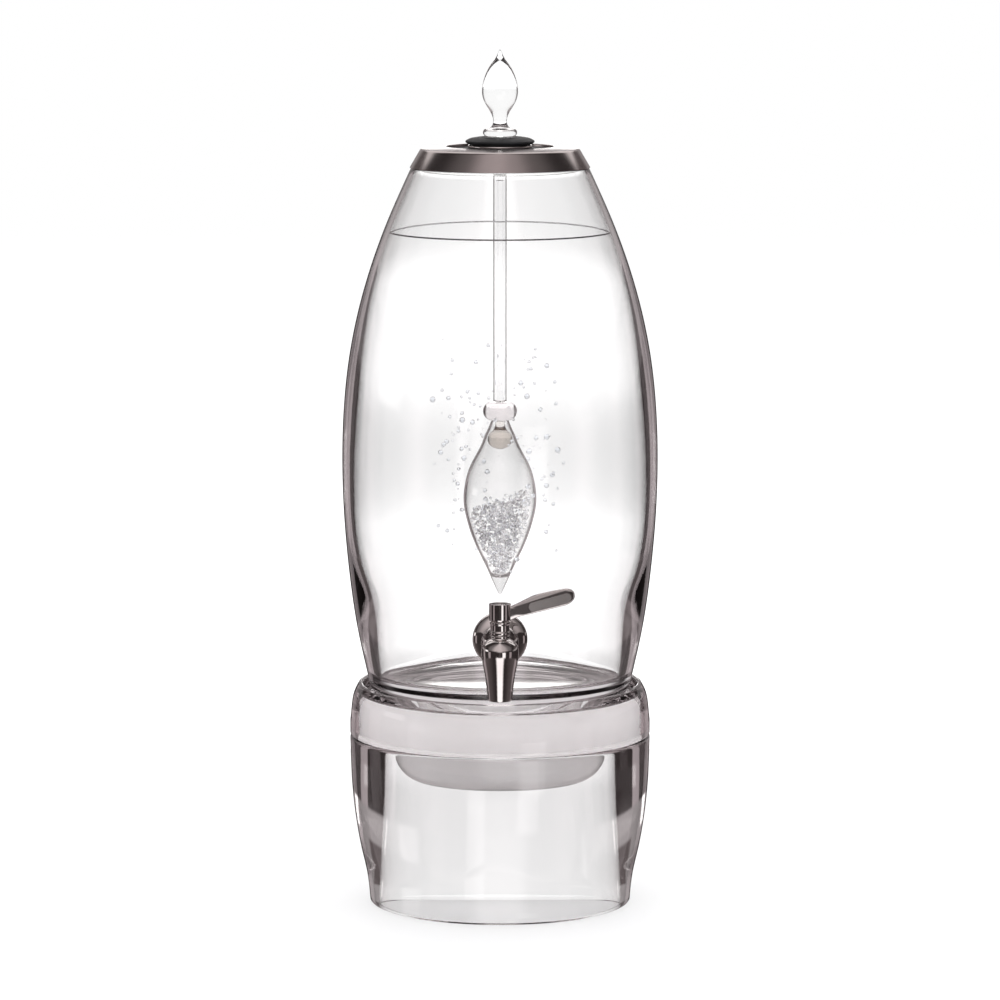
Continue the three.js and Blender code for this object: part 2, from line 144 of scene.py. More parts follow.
# ---------------------------------------------------------------- meshes
def finish_mesh(name, mesh, material, smooth_angle=35):
    """Makes an object of the mesh, with smooth shading except across its real edges."""
    for polygon in mesh.polygons:
        polygon.use_smooth = True
    mesh.set_sharp_from_angle(angle=math.radians(smooth_angle))
    if material is not None:
        mesh.materials.append(material)
    piece = bpy.data.objects.new(name, mesh)
    bpy.context.collection.objects.link(piece)
    return piece


def lathe_bmesh(outline, segments, place=Matrix.Identity(4)):
    """A closed solid of revolution about +Z, in metres, as a bmesh. A radius of 0 is a pole."""
    made = bmesh.new()
    rings = []
    for radius, height in outline:
        if radius < 1e-6:
            rings.append([made.verts.new(place @ Vector((0, 0, height * MM)))])
            continue
        ring = []
        for step in range(segments):
            angle = 2 * math.pi * step / segments
            at = Vector((radius * math.cos(angle), radius * math.sin(angle), height)) * MM
            ring.append(made.verts.new(place @ at))
        rings.append(ring)
    on_axis = len(rings[0]) == 1 and len(rings[-1]) == 1
    pairs = list(zip(rings, rings[1:]))
    if not on_axis:
        pairs.append((rings[-1], rings[0]))
    for low, high in pairs:
        if len(low) == 1 and len(high) == 1:
            continue
        for step in range(segments):
            after = (step + 1) % segments
            if len(low) == 1:
                made.faces.new((low[0], high[step], high[after]))
            elif len(high) == 1:
                made.faces.new((low[step], high[0], low[after]))
            else:
                made.faces.new((low[step], high[step], high[after], low[after]))
    bmesh.ops.recalc_face_normals(made, faces=made.faces)
    return made


def lathe(name, outline, segments, material, place=None, smooth_angle=35):
    made = lathe_bmesh(outline, segments, place or Matrix.Translation(AXIS))
    mesh = bpy.data.meshes.new(name)
    made.to_mesh(mesh)
    made.free()
    return finish_mesh(name, mesh, material, smooth_angle)


def along_tap():
    """Turns a lathe solid so that its height runs forward, as distance from the vessel's axis."""
    return Matrix.Translation(Vector((AXIS.x, AXIS.y, TAP_Z))) @ Matrix.Rotation(math.pi / 2, 4, "X")


def apply_modifiers(piece):
    graph = bpy.context.evaluated_depsgraph_get()
    mesh = bpy.data.meshes.new_from_object(piece.evaluated_get(graph))
    piece.modifiers.clear()
    piece.data = mesh
    return piece


def carve(piece, tool):
    """Cuts the tool out of the piece and removes the tool."""
    modifier = piece.modifiers.new("carve", "BOOLEAN")
    modifier.operation = "DIFFERENCE"
    modifier.solver = "EXACT"
    modifier.object = tool
    bpy.context.view_layer.update()
    apply_modifiers(piece)
    bpy.data.objects.remove(tool)
    return piece


def bore(radius, low, high):
    """The outline of a plain round bore."""
    return [(0, low), (radius, low), (radius, high), (0, high)]


def place_piece(piece, body, slot, *nodes):
    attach(piece, body)
    if nodes:
        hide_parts(*nodes)
    return piece


# ---------------------------------------------------------------- materials
class Nodes:
    """A few short words for building a node material."""

    def __init__(self, name):
        self.material = bpy.data.materials.new(name)
        self.material.use_nodes = True
        self.tree = self.material.node_tree
        self.shader = self.tree.nodes["Principled BSDF"]
        self.output = self.tree.nodes["Material Output"]

    def add(self, kind, **values):
        node = self.tree.nodes.new(kind)
        for key, value in values.items():
            setattr(node, key, value)
        return node

    def link(self, source, target):
        self.tree.links.new(source, target)

    def set(self, **values):
        for key, value in values.items():
            self.shader.inputs[key.replace("_", " ")].default_value = value

    def position(self, scale=(1, 1, 1)):
        coordinates = self.add("ShaderNodeTexCoord")
        mapping = self.add("ShaderNodeMapping")
        mapping.inputs["Scale"].default_value = scale
        self.link(coordinates.outputs["Object"], mapping.inputs["Vector"])
        return mapping.outputs["Vector"]

    def noise(self, where, scale, detail=3.0, roughness=0.5):
        texture = self.add("ShaderNodeTexNoise")
        texture.inputs["Scale"].default_value = scale
        texture.inputs["Detail"].default_value = detail
        texture.inputs["Roughness"].default_value = roughness
        self.link(where, texture.inputs["Vector"])
        return texture.outputs["Fac"]

    def spread(self, value, low, high):
        """Maps a 0 to 1 value to low to high."""
        mapped = self.add("ShaderNodeMapRange")
        mapped.inputs["To Min"].default_value = low
        mapped.inputs["To Max"].default_value = high
        self.link(value, mapped.inputs["Value"])
        return mapped.outputs["Result"]

    def tint(self, value, low, high):
        ramp = self.add("ShaderNodeValToRGB")
        ramp.color_ramp.elements[0].color = (*low, 1)
        ramp.color_ramp.elements[1].color = (*high, 1)
        ramp.color_ramp.elements[0].position = 0.3
        ramp.color_ramp.elements[1].position = 0.7
        self.link(value, ramp.inputs["Fac"])
        return ramp.outputs["Color"]

    def bump(self, height, strength, distance):
        bump = self.add("ShaderNodeBump")
        bump.inputs["Strength"].default_value = strength
        bump.inputs["Distance"].default_value = distance
        self.link(height, bump.inputs["Height"])
        self.link(bump.outputs["Normal"], self.shader.inputs["Normal"])

    def absorb(self, colour, density):
        volume = self.add("ShaderNodeVolumeAbsorption")
        volume.inputs["Color"].default_value = (*colour, 1)
        volume.inputs["Density"].default_value = density
        self.link(volume.outputs["Volume"], self.output.inputs["Volume"])


def glass_material(name, tint, density, waviness, wave_scale, ior=1.5):
    """Clear glass with the faint waviness of hand-worked glass and a tint that builds with depth."""
    made = Nodes(name)
    made.set(Transmission_Weight=1.0, IOR=ior, Base_Color=(1, 1, 1, 1))
    where = made.position()
    made.link(made.spread(made.noise(where, 14), 0.0, 0.02), made.shader.inputs["Roughness"])
    made.bump(made.noise(where, wave_scale, 2.0), 1.0, waviness)
    made.absorb(tint, density)
    return made.material


def frosted_material():
    """The satin inner face of the dish."""
    made = Nodes("frosted_glass")
    made.set(Transmission_Weight=0.06, IOR=1.5)
    where = made.position()
    made.link(made.tint(made.noise(where, 30, 4), (0.95, 0.92, 0.92), (0.99, 0.97, 0.97)),
              made.shader.inputs["Base Color"])
    made.link(made.spread(made.noise(where, 400, 4), 0.5, 0.7), made.shader.inputs["Roughness"])
    made.bump(made.noise(where, 2500, 3), 0.3, 0.0001)
    return made.material


def polished_material(name, low, high, roughness):
    """Polished metal with faint smears."""
    made = Nodes(name)
    made.set(Metallic=1.0)
    where = made.position()
    made.link(made.tint(made.noise(where, 40, 4), low, high), made.shader.inputs["Base Color"])
    made.link(made.spread(made.noise(where, 120, 6, 0.6), *roughness), made.shader.inputs["Roughness"])
    made.bump(made.noise(where, 60, 3), 0.15, 0.0001)
    return made.material


def spun_material():
    """Satin gunmetal with the fine rings that spinning leaves, about the vessel's axis."""
    made = Nodes("gunmetal")
    made.set(Metallic=1.0)
    coordinates = made.add("ShaderNodeTexCoord")
    shift = made.add("ShaderNodeVectorMath", operation="SUBTRACT")
    shift.inputs[1].default_value = AXIS
    made.link(coordinates.outputs["Object"], shift.inputs[0])
    split = made.add("ShaderNodeSeparateXYZ")
    made.link(shift.outputs["Vector"], split.inputs["Vector"])
    radius = made.add("ShaderNodeMath", operation="POWER")
    square_x = made.add("ShaderNodeMath", operation="MULTIPLY")
    square_y = made.add("ShaderNodeMath", operation="MULTIPLY_ADD")
    made.link(split.outputs["X"], square_x.inputs[0])
    made.link(split.outputs["X"], square_x.inputs[1])
    made.link(split.outputs["Y"], square_y.inputs[0])
    made.link(split.outputs["Y"], square_y.inputs[1])
    made.link(square_x.outputs["Value"], square_y.inputs[2])
    made.link(square_y.outputs["Value"], radius.inputs[0])
    radius.inputs[1].default_value = 0.5
    rings = made.add("ShaderNodeCombineXYZ")
    made.link(radius.outputs["Value"], rings.inputs["X"])
    made.link(split.outputs["Z"], rings.inputs["Y"])
    fine = made.noise(rings.outputs["Vector"], 2600, 4, 0.6)
    where = made.position()
    made.link(made.tint(made.noise(where, 25, 3), (0.40, 0.36, 0.355), (0.47, 0.43, 0.42)),
              made.shader.inputs["Base Color"])
    made.link(made.spread(fine, 0.14, 0.24), made.shader.inputs["Roughness"])
    made.bump(fine, 0.25, 0.00005)
    return made.material


def silicone_material(name, low, high, roughness, transmission=0.0, ior=1.42, gloss=0.5):
    made = Nodes(name)
    made.set(Transmission_Weight=transmission, IOR=ior, Specular_IOR_Level=gloss)
    where = made.position()
    made.link(made.tint(made.noise(where, 60, 4), low, high), made.shader.inputs["Base Color"])
    made.link(made.spread(made.noise(where, 300, 5), *roughness), made.shader.inputs["Roughness"])
    made.bump(made.noise(where, 1800, 4), 0.25, 0.0001)
    return made.material


def crystal_material():
    """Rock-crystal chips: clear, with milky and smoky patches that change from chip to chip."""
    made = Nodes("crystal")
    made.set(Transmission_Weight=0.96, IOR=1.17)
    where = made.position()
    made.link(made.tint(made.noise(where, 260, 3), (0.93, 0.95, 1.0), (1.0, 0.985, 0.965)),
              made.shader.inputs["Base Color"])
    made.link(made.spread(made.noise(where, 500, 4), 0.0, 0.12), made.shader.inputs["Roughness"])
    made.bump(made.noise(where, 900, 3), 0.4, 0.0003)
    return made.material


def painted_meniscus_material():
    """The meniscus as painted shade: a grey line, darker towards the tap, that thins out towards the back."""
    made = Nodes("painted_meniscus")
    made.set(Transmission_Weight=0.25, IOR=1.33)
    coordinates = made.add("ShaderNodeTexCoord")
    split = made.add("ShaderNodeSeparateXYZ")
    made.link(coordinates.outputs["Object"], split.inputs["Vector"])
    across = made.add("ShaderNodeMapRange")
    across.inputs["From Min"].default_value = AXIS.y - 0.03
    across.inputs["From Max"].default_value = AXIS.y + 0.05
    made.link(split.outputs["Y"], across.inputs["Value"])
    # painted shade: the line is darkest at the front, towards the tap, and pales towards the back
    made.link(made.tint(across.outputs["Result"], (0.10, 0.095, 0.10), (0.60, 0.59, 0.60)),
              made.shader.inputs["Base Color"])
    made.link(made.spread(made.noise(made.position(), 90, 3), 0.15, 0.3), made.shader.inputs["Roughness"])
    return made.material


CLEAR = glass_material("clear_glass", (0.80, 0.77, 0.78), 10.0, 0.00006, 22)
CLEAR_SMALL = glass_material("lamp_glass", (0.90, 0.90, 0.90), 8.0, 0.00003, 60)
ROD_GLASS = glass_material("rod_glass", (0.80, 0.80, 0.81), 40.0, 0.00003, 60)
FINIAL_GLASS = glass_material("finial_glass", (0.90, 0.90, 0.90), 8.0, 0.00003, 60, 1.32)
PLUG_GLASS = glass_material("plug_glass", (0.80, 0.76, 0.72), 130.0, 0.00003, 60)
MAUVE = glass_material("mauve_glass", (0.80, 0.66, 0.69), 14.0, 0.00003, 60)
FROSTED = frosted_material()
POLISHED = polished_material("polished_steel", (0.60, 0.565, 0.555), (0.70, 0.665, 0.655), (0.04, 0.12))
SATIN = polished_material("satin_steel", (0.30, 0.28, 0.275), (0.37, 0.345, 0.34), (0.30, 0.40))
GUNMETAL = spun_material()
BLACK = silicone_material(
    "black_silicone", (0.012, 0.012, 0.013), (0.022, 0.022, 0.024), (0.38, 0.55), gloss=0.2)
SEAL = silicone_material(
    "clear_silicone", (0.93, 0.93, 0.92), (0.99, 0.99, 0.98), (0.1, 0.2), transmission=0.97, ior=1.05)
CRYSTAL = crystal_material()
BUBBLE = glass_material("water_bubble", (0.62, 0.68, 0.78), 120.0, 0.00001, 200, 1.5)
# a grey ring of painted shade that stands for the meniscus line
PAINTED_MENISCUS = painted_meniscus_material()


# ---------------------------------------------------------------- stand, dish and vessel
STAND_TOP = stand_hi.z / MM
STAND_R = (stand_hi.x - stand_lo.x) / 2 / MM
STAND_OUTSIDE = [
    (94.3, 0.9), (96.5, 20), (100.4, 37.5), (104, 57), (107.2, 86), (STAND_R, STAND_TOP - 3),
]


def stand():
    outline = [
        (87.4, 0),
        (93.7, 0),
        *spline(STAND_OUTSIDE, 40),
        *arc(STAND_R - 2.5, STAND_TOP - 2.5, 2.5, 5, 90, 8),
        *arc(85.5, STAND_TOP - 2.5, 2.5, 90, 180, 8),
        *spline([(83.2, STAND_TOP - 8), (84.2, 60), (86.4, 1)], 16),
    ]
    return place_piece(lathe("stand_glass", outline, FINE, CLEAR), "stand", "clear_glass", "stand")


DISH_BOTTOM = dish_lo.z / MM
DISH_TOP = dish_hi.z / MM
LEDGE = vessel_lo.z / MM - 0.3
FLANGE_BOTTOM = STAND_TOP + 0.3
BOWL_INNER_R = 68.5
BOWL_FLOOR = DISH_BOTTOM + 9
LIP_R = 98.6


def dish():
    outline = [
        (0, DISH_BOTTOM),
        (50, DISH_BOTTOM),
        *arc(54, DISH_BOTTOM + 22, 22, -80, -10, 14),
        (78.4, FLANGE_BOTTOM - 2),
        *rounded([(78.5, FLANGE_BOTTOM), (STAND_R, FLANGE_BOTTOM, 2.2), (STAND_R, FLANGE_BOTTOM + 3)])[:-1],
        *spline([(STAND_R, 132), (107.4, 142), (105.6, 152), (LIP_R + 3.6, DISH_TOP - 0.6)], 20),
        *arc(LIP_R + 1.8, DISH_TOP - 1.5, 1.5, 80, 180, 8),
        *rounded([
            (LIP_R - 0.2, 156), (LIP_R - 0.8, LEDGE, 3), (BOWL_INNER_R, LEDGE, 1.2), (BOWL_INNER_R, 120),
        ])[1:-1],
        *arc(BOWL_INNER_R - 15.5, BOWL_FLOOR + 14, 14, 0, -90, 14),
        (0, BOWL_FLOOR),
    ]
    piece = lathe("dish_glass", outline, FINE, CLEAR)
    piece.data.materials.append(FROSTED)
    for polygon in piece.data.polygons:
        centre = polygon.center - AXIS
        radius = math.hypot(centre.x, centre.y) / MM
        normal = polygon.normal
        inward = normal.x * centre.x + normal.y * centre.y < 0 or normal.z > 0.5
        if radius < BOWL_INNER_R + 0.2 and inward and centre.z / MM < LEDGE - 1:
            polygon.material_index = 1
    return place_piece(piece, "dish", "frosted_glass", "dish")


MOUTH = vessel_hi.z / MM
TAP_HOLE_R = 6.8
VESSEL_BOTTOM = vessel_lo.z / MM
VESSEL_FLOOR = 167
VESSEL_OUTSIDE = [
    (95.4, 164.5), (103.2, 201), (108.4, 237.6), (111.8, 274), (113.4, 310.7), (112.9, 347.2),
    (109.9, 383.8), (103.6, 420.3), (93.7, 456.9), (80.4, 493.4), (64.1, MOUTH - 1),
]
VESSEL_INSIDE = [
    (86.2, 174), (89.6, 196), (94.4, 218), (99.7, 240), (103.2, 262), (105, 290.6), (104.8, 324.8),
    (102.9, 359), (100, 393.2), (95.2, 427.4), (87.2, 461.6), (75.1, 495.8), (60.5, MOUTH - 1),
]


def vessel():
    outline = [
        (0, VESSEL_BOTTOM + 2.5),
        (56, VESSEL_BOTTOM + 1.9),
        *rounded([(58, VESSEL_BOTTOM + 1.8), (63, VESSEL_BOTTOM, 2), (81, VESSEL_BOTTOM)])[1:],
        *arc(81, VESSEL_BOTTOM + 14.5, 14.5, -84, -8, 16),
        *spline(VESSEL_OUTSIDE, 90),
        *arc(62.9, MOUTH - 0.9, 0.9, 20, 90, 5),
        *arc(61.7, MOUTH - 0.9, 0.9, 90, 160, 5),
        *spline(VESSEL_INSIDE, 80)[::-1],
        *arc(81.4, VESSEL_FLOOR + 4.4, 4.4, -4, -90, 8),
        (0, VESSEL_FLOOR),
    ]
    piece = lathe("vessel_glass", outline, FINE, CLEAR)
    carve(piece, lathe("vessel_hole", bore(TAP_HOLE_R, 60, 130), SMALL, None, along_tap()))
    return place_piece(piece, "vessel", "clear_glass", "vessel")


WATER_Z = 485


def painted_meniscus():
    """The line that the water draws round the inside of the glass, as a ring of painted shade."""
    inside = spline(VESSEL_INSIDE, 200)
    radius = min(inside, key=lambda point: abs(point[1] - WATER_Z))[0] - 0.8
    outline = arc(radius, WATER_Z, 0.55, 0, 345, 11)
    return place_piece(lathe("painted_meniscus", outline, FINE, PAINTED_MENISCUS), "vessel", "clear_glass")


# ---------------------------------------------------------------- lid and stopper
LID_BOTTOM = lid_lo.z / MM
LID_TOP = lid_hi.z / MM
LID_R = (lid_hi.x - lid_lo.x) / 2 / MM
RECESS_R = 38.4
HATCH_R = 30.6
HATCH_LEDGE = 539.7
SHELL = 1.6


def lid_ring():
    outline = rounded([
        (62.7, LID_BOTTOM, 0.3),
        (LID_R, LID_BOTTOM, 0.5),
        (56.6, 545, 1.6),
        (RECESS_R, LID_TOP, 0.7),
        (RECESS_R, HATCH_LEDGE, 0.4),
        (HATCH_R, HATCH_LEDGE, 0.4),
        (HATCH_R, HATCH_LEDGE - 8, 0.4),
        (HATCH_R + SHELL, HATCH_LEDGE - 8, 0.4),
        (HATCH_R + SHELL, HATCH_LEDGE - SHELL, 0.4),
        (RECESS_R + SHELL, HATCH_LEDGE - SHELL, 0.4),
        (RECESS_R + SHELL, LID_TOP - SHELL - 0.3, 0.4),
        (54.6, 543.2, 0.6),
    ])
    return place_piece(lathe("lid_metal", outline, FINE, GUNMETAL, None, 50), "lid", "gunmetal", "lid_ring")


def lid_seal():
    outline = rounded([
        (56.6, MOUTH - 3, 0.4), (58.9, MOUTH - 3, 0.4), (60, MOUTH - 1.4, 0.4), (60, LID_BOTTOM, 0.3),
        (62, LID_BOTTOM, 0.3), (60.3, LID_BOTTOM + 3, 0.3), (44, LID_BOTTOM + 3, 0.3),
        (44, LID_BOTTOM + 1, 0.3), (56.6, LID_BOTTOM, 0.3),
    ])
    return place_piece(lathe("lid_gasket", outline, FINE, SEAL), "lid", "clear_silicone", "lid_seal")


DISC_TOP = stopper_hi.z / MM
PLUG_R = HATCH_R - 0.6
STEM_BORE_R = 5.1


def stopper():
    flange = HATCH_LEDGE + 0.3
    ribs = []
    for rib in range(3):
        middle = 532.5 + rib * 2.6
        ribs += arc(PLUG_R - 0.7, middle, 0.7, -80, 80, 6)
    outline = [
        *rounded([(STEM_BORE_R, 530), (PLUG_R - 1.5, 530, 0.8), (PLUG_R - 0.8, 531.5)]),
        *ribs,
        *rounded([
            (PLUG_R - 0.7, flange), (RECESS_R - 0.6, flange, 0.4), (RECESS_R - 0.6, flange + 4.7, 1.2),
            (19.6, flange + 4.7, 0.6), (19.6, 547.8, 0.3), (22.6, 547.8, 0.8), (24.7, 549.4, 0.6),
            (24.7, 550.5, 0.7), (21.5, 552.3, 1.5), (16, DISC_TOP, 1.5), (13.4, DISC_TOP, 0.5),
            (12.8, DISC_TOP - 0.4, 0.5), (STEM_BORE_R, DISC_TOP - 0.4),
        ]),
    ]
    piece = lathe("stopper_black", outline, FINE, BLACK)
    return place_piece(piece, "vial_unit", "black_silicone", "stopper")


def stopper_ring():
    ring_lo, ring_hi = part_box("stopper_ring")
    low = ring_lo.z / MM
    high = ring_hi.z / MM
    outline = rounded([(19.9, low, 0.2), (23, low, 0.6), (23, high, 0.9), (19.9, high, 0.2)])
    piece = lathe("stopper_washer", outline, FINE, POLISHED)
    return place_piece(piece, "vial_unit", "polished_steel", "stopper_ring")


# ---------------------------------------------------------------- finial, rod, bead and vial
STEM_R = (rod_hi.x - rod_lo.x) / 2 / MM
FINIAL_TOP = finial_hi.z / MM


def finial():
    foot = DISC_TOP + 0.3
    low = finial_lo.z / MM
    outline = [
        (0, low),
        *rounded([(STEM_R - 0.4, low, 0.3), (STEM_R, low + 0.6, 0.3), (STEM_R, 540)]),
        *rounded([(STEM_R, foot, 0.3), (10.6, foot, 0.4), (11.4, foot + 0.3)])[1:],
        *arc(9.3, foot + 2.8, 2.9, -50, 62, 10),
        *spline([
            (9.6, foot + 5.6), (6.6, foot + 6.6), (5.1, foot + 9), (5.2, 567), (9, 574.5), (12.2, 581),
            (12.8, 587), (11.2, 595), (7.6, 603), (3.6, 608.4),
        ], 60),
        *spline([(3.4, 608.9), (2.2, 611), (0.9, 614)], 8),
        (0, FINIAL_TOP),
    ]
    piece = lathe("finial_glass", outline, MEDIUM, FINIAL_GLASS)
    return place_piece(piece, "vial_unit", "clear_glass", "finial")


def glass_rod():
    low = rod_lo.z / MM
    high = rod_hi.z / MM
    outline = [
        (0, low),
        *rounded([(STEM_R, low, 0.7), (STEM_R, high, 0.7)]),
        (0, high),
    ]
    piece = lathe("rod_glass", outline, MEDIUM, ROD_GLASS)
    return place_piece(piece, "vial_unit", "clear_glass", "rod")


def bead():
    low = bead_lo.z / MM
    high = bead_hi.z / MM
    radius = (bead_hi.x - bead_lo.x) / 2 / MM
    half = (high - low) / 2
    outline = [(0, low), *arc(radius - half, (low + high) / 2, half, -90, 90, 24), (0, high)]
    return place_piece(lathe("bead_glass", outline, MEDIUM, MAUVE), "vial_unit", "mauve_glass", "bead")


VIAL_TIP = vial_lo.z / MM
VIAL_TOP = vial_hi.z / MM
CHIP_FLOOR = 234
NECK_R = 6.2
GLASS_WALL = 1.5
BULB_OUTSIDE = [
    (10.4, 340.5), (14, 332), (20.8, 319.5), (25.3, 304), (26.1, 293), (23.6, 278.5), (17.4, 259.5),
    (10.4, 243), (5.2, 229.5),
]


def bulb_inside():
    """The bulb's inner wall, down to where its floor begins."""
    return [(radius - GLASS_WALL, height) for radius, height in BULB_OUTSIDE[:7]]


def vial():
    outline = [
        (0, VIAL_TIP),
        *arc(0, VIAL_TIP + 1.2, 1.2, -60, 0, 4),
        *spline(BULB_OUTSIDE, 70)[::-1],
        *rounded([
            (8.3, 344.6), (NECK_R, VIAL_TOP, 0.5), (NECK_R - GLASS_WALL, VIAL_TOP, 0.5),
            (8.3 - GLASS_WALL, 344.6),
        ]),
        *spline(bulb_inside(), 54),
        *spline([(12.2, 250.5), (8.4, 242.6), (4.2, CHIP_FLOOR + 0.8), (1.6, CHIP_FLOOR)], 10),
        (0, CHIP_FLOOR - 0.1),
    ]
    piece = lathe("vial_glass", outline, MEDIUM, CLEAR_SMALL)
    return place_piece(piece, "vial_unit", "clear_glass", "vial")


def vial_plug():
    """The drop of glass that closes the vial's neck."""
    outline = [
        (0, 330),
        *spline([(1.5, 330.1), (5, 331.2), (8, 334), (8.8, 337), (7.2, 341), (4.2, 344), (3.6, 346)], 32),
        (3.6, VIAL_TOP),
        (0, VIAL_TOP),
    ]
    piece = lathe("vial_bung", outline, MEDIUM, PLUG_GLASS)
    return place_piece(piece, "vial_unit", "mauve_glass", "vial_plug")


CHIP_SEED = 11
CHIP_CORNERS = 9
CHIP_COUNT = 900
CHIP_TRIES = 40000
HEAP_TOP = 295
HEAP_SLOPE = 0.30
TAPER_TOP = 259


def chip(made, centre, size, rng):
    """One broken chip: the hull of a few random points."""
    points = []
    for _ in range(CHIP_CORNERS):
        direction = Vector((rng.gauss(0, 1), rng.gauss(0, 1), rng.gauss(0, 1))).normalized()
        stretch = Vector((1.0, rng.uniform(0.6, 1.0), rng.uniform(0.5, 0.9)))
        points.append(Vector(a * b for a, b in zip(direction, stretch)))
    angle = rng.uniform(0, math.pi)
    turn = Matrix.Rotation(angle, 3, Vector((rng.random(), rng.random(), rng.random())).normalized())
    verts = [made.verts.new(centre + turn @ point * size) for point in points]
    hull = bmesh.ops.convex_hull(made, input=verts)
    inside = [v for v in hull["geom_interior"] if isinstance(v, bmesh.types.BMVert)]
    bmesh.ops.delete(made, geom=inside, context="VERTS")


def wall_at(inside, height):
    """The bulb's inner radius at a height, with a straight taper below its rounded part."""
    if height > TAPER_TOP:
        return min(inside, key=lambda point: abs(point[1] - height))[0]
    return 4 + (height - CHIP_FLOOR) * 0.47


def crystal_chips():
    """The heap of chips in the bulb, which leans up to one side."""
    rng = random.Random(CHIP_SEED)
    inside = spline(bulb_inside(), 120)
    made = bmesh.new()
    placed = []
    tries = 0
    while len(placed) < CHIP_COUNT and tries < CHIP_TRIES:
        tries += 1
        size = rng.uniform(1.2, 2.5)
        height = rng.uniform(CHIP_FLOOR + 2, HEAP_TOP + 9)
        reach = wall_at(inside, height) - size * 0.95
        if reach < 0.3:
            continue
        angle = rng.uniform(0, 2 * math.pi)
        radius = reach * math.sqrt(rng.random())
        place = Vector((radius * math.cos(angle), radius * math.sin(angle), height))
        if height > HEAP_TOP + HEAP_SLOPE * place.x - size * 0.5:
            continue
        if any((place - other).length < (size + other_size) * 0.5 for other, other_size in placed):
            continue
        placed.append((place, size))
        chip(made, AXIS + place * MM, size * MM, rng)
    mesh = bpy.data.meshes.new("chips")
    made.to_mesh(mesh)
    made.free()
    piece = finish_mesh("chips", mesh, CRYSTAL, 1)
    return place_piece(piece, "vial_unit", "crystal", "crystal_chips")


BUBBLE_COUNT = 150
BUBBLE_SEED = 5


def bubbles():
    """Small bubbles round the vial, in the water."""
    rng = random.Random(BUBBLE_SEED)
    made = bmesh.new()
    placed = 0
    while placed < BUBBLE_COUNT:
        angle = rng.uniform(0, 2 * math.pi)
        radius = rng.triangular(14, 52, 30)
        height = rng.triangular(230, 412, 318)
        if radius < 30 and height < 350:
            continue
        size = rng.uniform(0.55, 1.0) ** 2.5 * 2.1
        at = AXIS + Vector((radius * math.cos(angle), radius * math.sin(angle), height)) * MM
        bmesh.ops.create_icosphere(made, subdivisions=2, radius=size * MM, matrix=Matrix.Translation(at))
        placed += 1
    noise.seed_set(BUBBLE_SEED)
    for vert in made.verts:
        vert.co += noise.noise_vector(vert.co * 900) * 0.00018
    mesh = bpy.data.meshes.new("bubbles")
    made.to_mesh(mesh)
    made.free()
    return place_piece(finish_mesh("bubbles", mesh, BUBBLE), "vessel", "clear_glass")


# ---------------------------------------------------------------- tap
SPOUT_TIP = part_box("tap_body")[0].z / MM
BONNET_BOTTOM = bonnet_lo.z / MM
BONNET_TOP = bonnet_hi.z / MM
HUB_BOTTOM = lever_lo.z / MM
HUB_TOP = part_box("cap_screw")[1].z / MM
HUB_R = 7.6
SHANK_BORE_R = 3.9
SPOUT_BORE_R = 5.2
SPOUT_BORE_TOP = 200
CASTING_VOXEL = 0.00042


def at_tap():
    """Stands a lathe solid on the tap's own upright axis."""
    return Matrix.Translation(TAP)


def tap_body():
    """Spout and barrel, remeshed into one casting with soft fillets, then bored for the water."""
    spout = lathe_bmesh([
        (SPOUT_BORE_R, SPOUT_TIP),
        *rounded([(SPOUT_BORE_R, SPOUT_TIP, 0.4), (8.5, SPOUT_TIP, 0.9), (9.3, 178)]),
        *spline([(9.4, 178.4), (11, 190), (12.7, 199), (13.1, 204), (12, 209.6), (8.6, 213)], 30),
        *rounded([(6.9, 213.8, 0.5), (6.9, BONNET_BOTTOM - 0.3, 0.4), (0, BONNET_BOTTOM - 0.3)]),
        (0, SPOUT_BORE_TOP),
        (SPOUT_BORE_R, SPOUT_BORE_TOP),
    ], MEDIUM, at_tap())
    barrel = lathe_bmesh([
        (0, 118.6),
        (10, 118.6),
        *spline([(10.2, 118.8), (10.8, 120.4), (13.2, 127), (11.8, 132.6), (8.4, 136.6)], 24),
        (8.4, 145),
        (0, 150),
    ], MEDIUM, along_tap())
    mesh = bpy.data.meshes.new("tap_casting")
    barrel.to_mesh(mesh)
    spout.from_mesh(mesh)
    spout.to_mesh(mesh)
    barrel.free()
    spout.free()
    piece = finish_mesh("tap_casting", mesh, POLISHED)
    remesh = piece.modifiers.new("casting", "REMESH")
    remesh.mode = "VOXEL"
    remesh.voxel_size = CASTING_VOXEL
    remesh.use_smooth_shade = True
    soften = piece.modifiers.new("soften", "SMOOTH")
    soften.factor = 0.5
    soften.iterations = 6
    bpy.context.view_layer.update()
    apply_modifiers(piece)
    chamber_r = (plug_hi.x - plug_lo.x) / 2 / MM + 0.15
    chamber_floor = plug_lo.z / MM - 0.2
    chamber = [
        (0, SPOUT_BORE_TOP - 1), (SPOUT_BORE_R, SPOUT_BORE_TOP - 1), (SPOUT_BORE_R, chamber_floor),
        (chamber_r, chamber_floor), (chamber_r, BONNET_BOTTOM), (0, BONNET_BOTTOM),
    ]
    carve(piece, lathe("valve_chamber", chamber, MEDIUM, None, at_tap()))
    carve(piece, lathe("valve_inlet", bore(SHANK_BORE_R, 118, 145), SMALL, None, along_tap()))
    return place_piece(piece, "vessel", "polished_steel", "tap_body")


def rosette():
    face = 110.3
    outline = [
        (6.3, face),
        *rounded([(18.8, face, 0.4), (19.3, face + 0.8)]),
        *spline([(19.3, face + 1.2), (18.9, face + 2.5), (16.2, 115.4), (12, 117.4), (10.6, 118.3)], 30),
        (6.3, 118.3),
    ]
    piece = lathe("rosette_dome", outline, MEDIUM, POLISHED, along_tap())
    return place_piece(piece, "vessel", "polished_steel", "rosette")


